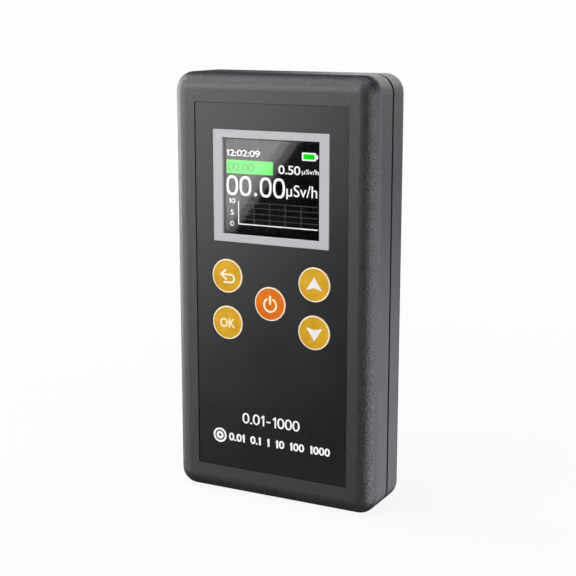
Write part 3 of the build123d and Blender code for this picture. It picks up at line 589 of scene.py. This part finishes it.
def arc_stroke(cx, cy, r, a0, a1, w, n=28):
    """Closed outline of an arc stroke with round ends."""
    out = arc(cx, cy, r + w / 2, a0, a1, n)
    ex, ey = cx + r * math.cos(math.radians(a1)), cy + r * math.sin(math.radians(a1))
    sx, sy = cx + r * math.cos(math.radians(a0)), cy + r * math.sin(math.radians(a0))
    sgn = 1 if a1 > a0 else -1
    end = arc(ex, ey, w / 2, a1, a1 + 180 * sgn, 8)[1:-1]
    inner = arc(cx, cy, r - w / 2, a1, a0, n)
    start = arc(sx, sy, w / 2, a0 + 180, a0 + 360, 8)[1:-1] if sgn > 0 else arc(sx, sy, w / 2, a0 + 180, a0, 8)[1:-1]
    return out + end + inner + start


# --- what the display shows, just behind the window. Points are given where they are seen on the faceplate plane.
K_LIT = (Y_LIT - CAM[1]) / (Y_PLATE - CAM[1])
SEE = 1.0       # share of the panel's depth that shows


def lit(x, z):
    k = 1 + (K_LIT - 1) * SEE
    return (CAM[0] + (x - CAM[0]) * k, CAM[2] + (z - CAM[2]) * k - 0.03)


def lit_shape(name, loops, mat, layer=0):
    shape(name, [[lit(*p) for p in loop] for loop in loops], Y_LIT - 0.006 * layer, 0.004, mat, "case")


def lit_text(name, words, x0, x1, z0, z1, mat="lit_white", layer=0, weight=0.0, spacing=1.0):
    (a, b), (c, d) = lit(x0, z0), lit(x1, z1)
    text(name, words, a, c, b, d, Y_LIT - 0.006 * layer, 0.004, mat, "case", weight, spacing)




def lit_figures(name, words, x0, x1, z0, z1, mat="lit_white", layer=0, weight=0.0, stem=0.14):
    (a, b), (c, d) = lit(x0, z0), lit(x1, z1)
    figures(name, words, a, c, b, d, Y_LIT - 0.006 * layer, 0.004, mat, "case", weight, stem)


lit_figures("screen_clock", "12:02:09", -14.1, -3.15, 100.2, 102.0, weight=0.008, stem=0.16)
lit_shape("screen_battery_case", [round_rect(9.85, 14.15, 99.95, 102.2, 0.25), round_rect(10.3, 13.72, 100.38, 101.77, 0.1)], "lit_white")
lit_shape("screen_battery_nub", [round_rect(14.17, 14.72, 100.5, 101.65, 0.2)], "lit_white")
lit_shape("screen_battery_charge", [round_rect(10.38, 13.64, 100.46, 101.69, 0.08)], "lit_green")
lit_shape("screen_bar", [round_rect(-13.9, 0.9, 95.33, 99.12, 0.3)], "lit_bar")
lit_figures("screen_bar_figures", "00.00", -13.55, -5.05, 96.0, 98.3, "lit_bar_dark", layer=1, weight=0.006)
lit_figures("screen_limit_figures", "0.50", 2.55, 9.4, 95.9, 98.35, weight=0.010)
lit_text("screen_limit_unit", "µSv/h", 9.85, 14.95, 95.95, 97.6, weight=0.06)
for i, x in enumerate((-12.12, -7.86, -1.42, 2.76)):
    w, h, s = 3.74, 5.6, 0.72
    cz = 91.9
    outer, inner = [], []
    for k in range(72):
        t = 2 * math.pi * k / 72
        c, d = math.cos(t), math.sin(t)
        e = 2 / 2.5
        outer.append((x + (w / 2) * math.copysign(abs(c) ** e, c), cz + (h / 2) * math.copysign(abs(d) ** e, d)))
        inner.append((x + (w / 2 - s) * math.copysign(abs(c) ** e, c), cz + (h / 2 - s) * math.copysign(abs(d) ** e, d)))
    lit_shape("screen_reading_%d" % (i + 1), [outer, inner], "lit_white")
lit_shape("screen_reading_point", [circle(-4.66, 89.72, 0.52)], "lit_white")
lit_text("screen_reading_unit", "µSv/h", 5.05, 14.55, 89.05, 93.1, weight=0.03)
lit_figures("screen_axis_10", "10", -13.4, -11.1, 86.85, 88.2, stem=0.16)
lit_text("screen_axis_5", "5", -12.75, -11.65, 83.5, 84.95, weight=0.05)
lit_text("screen_axis_0", "0", -12.85, -11.65, 80.3, 81.75, weight=0.05)
lit_shape("screen_axis_line_z", [round_rect(-10.28, -9.95, 80.95, 87.55, 0.1)], "lit_white", layer=1)
lit_shape("screen_axis_line_x", [round_rect(-10.28, 14.75, 80.93, 81.22, 0.1)], "lit_white", layer=2)
for i, x in enumerate((-5.18, -0.22, 4.73, 9.67)):
    lit_shape("screen_grid_v%d" % (i + 1), [round_rect(x - 0.14, x + 0.14, 81.3, 87.45, 0.05)], "lit_grid")
for i, z in enumerate((87.35, 85.85, 84.2, 82.6)):
    lit_shape("screen_grid_h%d" % (i + 1), [round_rect(-9.9, 14.7, z - 0.13, z + 0.13, 0.05)], "lit_grid", layer=1)

# --- key rings and signs, each on its own key
KEYS = {"back": (-13.86, 65.68), "ok": (-13.86, 51.98), "power": (0.0, 58.81), "up": (13.86, 65.68), "down": (13.86, 51.98)}


def key_ring(key):
    """Printed ring: a thin skin over the rim of the key, closed underneath."""
    cx, cz = KEYS[key]
    prof = [(4.54, Y_KEY - 0.012)]
    for i in range(6):
        a = math.radians(66 * i / 5)
        prof.append((4.67 + 0.262 * math.sin(a), Y_KEY + 0.25 - 0.262 * math.cos(a)))
    for i in range(5, -1, -1):
        a = math.radians(66 * i / 5)
        prof.append((4.67 + 0.238 * math.sin(a), Y_KEY + 0.25 - 0.238 * math.cos(a)))
    prof.append((4.54, Y_KEY + 0.004))
    n = 96
    verts, faces = [], []
    for i in range(n):
        t = 2 * math.pi * i / n
        for r, y in prof:
            verts.append(((cx + r * math.cos(t)) * MM, y * MM, (cz + r * math.sin(t)) * MM))
    k = len(prof)
    for i in range(n):
        for j in range(k):
            a, b = i * k + j, i * k + (j + 1) % k
            c, d = ((i + 1) % n) * k + (j + 1) % k, ((i + 1) % n) * k + j
            faces.append((a, b, c, d))
    mesh = bpy.data.meshes.new(key + "_key_ring")
    mesh.from_pydata(verts, [], faces)
    mesh.validate()
    for p in mesh.polygons:
        p.use_smooth = True
    obj = bpy.data.objects.new(key + "_key_ring", mesh)
    scene.collection.objects.link(obj)
    finish_piece(obj, "cream", key + "_key_body")


for key in KEYS:
    key_ring(key)

Y_SIGN = Y_KEY - 0.014


def sign(name, loops, key, layer=0):
    shape(name, loops, Y_SIGN - 0.003 * layer, 0.012, "pearl" if key in ("up", "down") else "sand", key + "_key_body")


bx, bz = KEYS["back"]
sign("back_sign_head_top", [capsule((bx - 2.05, bz + 0.45), (bx - 0.55, bz + 1.75), 0.60)], "back")
sign("back_sign_head_low", [capsule((bx - 2.05, bz + 0.45), (bx - 0.35, bz - 0.95), 0.60)], "back", 1)
sign("back_sign_shaft", [capsule((bx - 2.0, bz + 0.47), (bx + 1.15, bz + 0.47), 0.60)], "back", 2)
sign("back_sign_turn", [arc_stroke(bx + 1.15, bz - 0.66, 1.13, -90, 90, 0.60)], "back", 3)
sign("back_sign_tail", [capsule((bx + 1.15, bz - 1.79), (bx - 0.95, bz - 1.79), 0.60)], "back", 4)
ox, oz = KEYS["ok"]
text("ok_sign", "OK", ox - 2.5, ox + 2.5, oz - 1.42, oz + 1.3, Y_SIGN, 0.012, "sand", "ok_key_body", weight=0.26)
px_, pz_ = KEYS["power"]
sign("power_sign_ring", [arc_stroke(px_ + 0.02, pz_ - 0.28, 1.92, 122, 418, 0.56, 48)], "power")
sign("power_sign_bar", [capsule((px_ + 0.02, pz_ + 0.2), (px_ + 0.02, pz_ + 2.15), 0.70)], "power", 1)
ux, uz = KEYS["up"]
sign("up_sign", [[(ux, uz + 2.2), (ux + 2.5, uz - 1.62), (ux, uz - 0.86), (ux - 2.5, uz - 1.62)]], "up")
dx_, dz_ = KEYS["down"]
sign("down_sign", [[(dx_ + 0.1, dz_ - 2.35), (dx_ - 2.45, dz_ + 1.45), (dx_ + 0.1, dz_ + 0.86), (dx_ + 2.65, dz_ + 1.45)]], "down")

# --- generic figures on the faceplate: a measuring range, and a plain ring sign with scale figures
figures("faceplate_range", "0.01-1000", -9.4, 9.4, 22.35, 25.55, Y_PLATE - 0.012, 0.014, "ink", "case", weight=0.004, stem=0.14)
figures("faceplate_scale", "0.01  0.1  1  10  100  1000", -13.9, 19.0, 16.4, 18.8, Y_PLATE - 0.012, 0.014, "ink", "case", weight=0.028, stem=0.23)
shape("faceplate_ring_sign", [circle(-16.93, 17.6, 2.2), circle(-16.93, 17.6, 1.62)], Y_PLATE - 0.012, 0.014, "ink", "case")
shape("faceplate_ring_dot", [circle(-16.93, 17.6, 1.18), circle(-16.93, 17.6, 0.42)], Y_PLATE - 0.012, 0.014, "ink", "case")

# --- plain rules, bars and cell signs on the rear label
Y_LABEL = 11.452


def label_shape(name, loops):
    shape(name, loops, Y_LABEL, 0.010, "dark_ink", "case")


label_shape("label_frame", [round_rect(-5.2, 23.2, 88.8, 105.2, 0.9), round_rect(-4.95, 22.95, 89.05, 104.95, 0.7)])
for i, (x_, z_) in enumerate(((6.0, 102.9), (3.0, 101.3), (8.5, 99.7), (5.0, 98.1))):
    label_shape("label_rule_%d" % (i + 1), [round_rect(x_ - 8.2 + 6.0, 20.6, z_ - 0.28, z_ + 0.28, 0.2)])
bars, pos = [], -2.2
for i in range(26):
    wide = (0.18, 0.34, 0.18, 0.5, 0.26)[(i * 7 + i // 3) % 5]
    bars.append(round_rect(pos, pos + wide, 90.6, 95.6, 0.04, 2))
    pos += wide + (0.2, 0.34, 0.24)[(i * 5 + 1) % 3]
label_shape("label_bars", bars)
for i, z_ in enumerate((91.2, 94.0)):
    label_shape("label_cell_sign_%d" % (i + 1), [round_rect(14.6, 20.4, z_ - 0.9, z_ + 0.9, 0.3), round_rect(14.85, 20.15, z_ - 0.65, z_ + 0.65, 0.15)])
    label_shape("label_cell_nub_%d" % (i + 1), [round_rect(14.1, 14.58, z_ - 0.4, z_ + 0.4, 0.1)])

# ------------------------------------------------------------------ floor, backdrop and light
verts, faces = [], []
prof = [(-3.0, 0.0), (1.6, 0.0)]
for i in range(1, 13):
    a = math.radians(90 * i / 12)
    prof.append((1.6 + 1.2 * math.sin(a), 1.2 - 1.2 * math.cos(a)))
prof.append((2.8, 3.6))
n = 8
for y, z in prof:
    for i in range(n + 1):
        verts.append((-4.0 + 8.0 * i / n, y, z))
for j in range(len(prof) - 1):
    for i in range(n):
        a = j * (n + 1) + i
        faces.append((a, a + 1, a + n + 2, a + n + 1))
mesh = bpy.data.meshes.new("studio_sweep")
mesh.from_pydata(verts, [], faces)
mesh.update()
for p in mesh.polygons:
    p.use_smooth = True
floor = bpy.data.objects.new("studio_sweep", mesh)
scene.collection.objects.link(floor)
floor.rotation_euler = (0, 0, math.radians(27.4))
fm = Mat("sweep_paper")
away = fm.nt.nodes.new("ShaderNodeVectorMath")
away.operation = "LENGTH"
fm.link(fm.tc.outputs["Object"], away.inputs[0])
near = fm.maprange(away.outputs["Value"], 0.05, 0.32, 1.0, 0.0)
paper = fm.mixc(fm.maprange(fm.noise(6.0, 3.0), 0.3, 0.7, 0.0, 1.0), (FLOOR_TONE * 0.98,) * 3, (FLOOR_TONE,) * 3)
fm.color(fm.mixc(near, (0.0, 0.0, 0.0), paper))
fm.rough(fm.maprange(fm.noise(300.0, 2.0), 0.3, 0.7, 0.85, 0.95))
fm.bsdf.inputs["Specular IOR Level"].default_value = 0.0
fm.bsdf.inputs["Emission Color"].default_value = (1, 1, 1, 1)
fm.link(fm.maprange(near, 0.0, 1.0, FLOOR_GLOW, FLOOR_GLOW - 0.085), fm.bsdf.inputs["Emission Strength"])
floor.data.materials.append(fm.mat)
floor.visible_glossy = False
floor.visible_diffuse = False
floor.visible_transmission = False
floor.visible_shadow = False


def area(name, centre, x_axis, y_axis, sx, sy, power, color=(1, 1, 1)):
    """Rectangular soft light: x_axis and y_axis are its sides; it shines along -(x cross y)."""
    d = bpy.data.lights.new(name, "AREA")
    d.shape = "RECTANGLE"
    d.size, d.size_y = sx, sy
    d.energy = power
    d.color = color
    o = bpy.data.objects.new(name, d)
    scene.collection.objects.link(o)
    X = Vector(x_axis).normalized()
    Y = Vector(y_axis).normalized()
    Z = X.cross(Y).normalized()
    mm = Matrix.Identity(4)
    for i in range(3):
        mm[i][0], mm[i][1], mm[i][2], mm[i][3] = X[i], Y[i], Z[i], centre[i]
    o.matrix_world = mm
    o.visible_camera = False
    return o


# key light, front left: its slanting lower edge shows in the display window
e = Vector((0.6180, 0.0, 0.7862))
nrm = Vector((-0.7862, 0.0, 0.6180))
edge_mid = Vector((-0.5428, -1.0, -0.0545))
for i, (u0, u1, v0, v1, radiance) in enumerate(KEY_STRIPS):
    area("key_strip_%d" % (i + 1), edge_mid + nrm * ((v0 + v1) / 2) + e * ((u0 + u1) / 2), e, nrm, u1 - u0, v1 - v0,
         math.pi * (u1 - u0) * (v1 - v0) * radiance, WARM)
for name, az, el, wide, high, radiance, tint in PANELS:
    az, el = math.radians(az), math.radians(el)
    out = Vector((math.sin(az) * math.cos(el), -math.cos(az) * math.cos(el), math.sin(el)))
    px = Vector((0, 0, 1)).cross(out)
    px = px.normalized() if px.length > 1e-6 else Vector((1, 0, 0))
    w_, h_ = 2.4 * math.tan(math.radians(wide / 2)), 2.4 * math.tan(math.radians(high / 2))
    area(name, Vector((0, 0, Z_CASE)) + out * 1.2, px, out.cross(px), w_, h_, math.pi * w_ * h_ * radiance, tint)

world = bpy.data.worlds.new("studio")
scene.world = world
world.use_nodes = True
wn = world.node_tree
wn.nodes.clear()
wout = wn.nodes.new("ShaderNodeOutputWorld")
mixw = wn.nodes.new("ShaderNodeMixShader")
lp = wn.nodes.new("ShaderNodeLightPath")
bg_cam = wn.nodes.new("ShaderNodeBackground")
bg_cam.inputs[0].default_value = (1, 1, 1, 1)
bg_cam.inputs[1].default_value = 1.0
bg = wn.nodes.new("ShaderNodeBackground")
bg.inputs[0].default_value = (0.97, 0.97, 1.0, 1)
bg.inputs[1].default_value = 0.012
wn.links.new(lp.outputs["Is Camera Ray"], mixw.inputs[0])
wn.links.new(bg.outputs[0], mixw.inputs[1])
wn.links.new(bg_cam.outputs[0], mixw.inputs[2])
wn.links.new(mixw.outputs[0], wout.inputs[0])
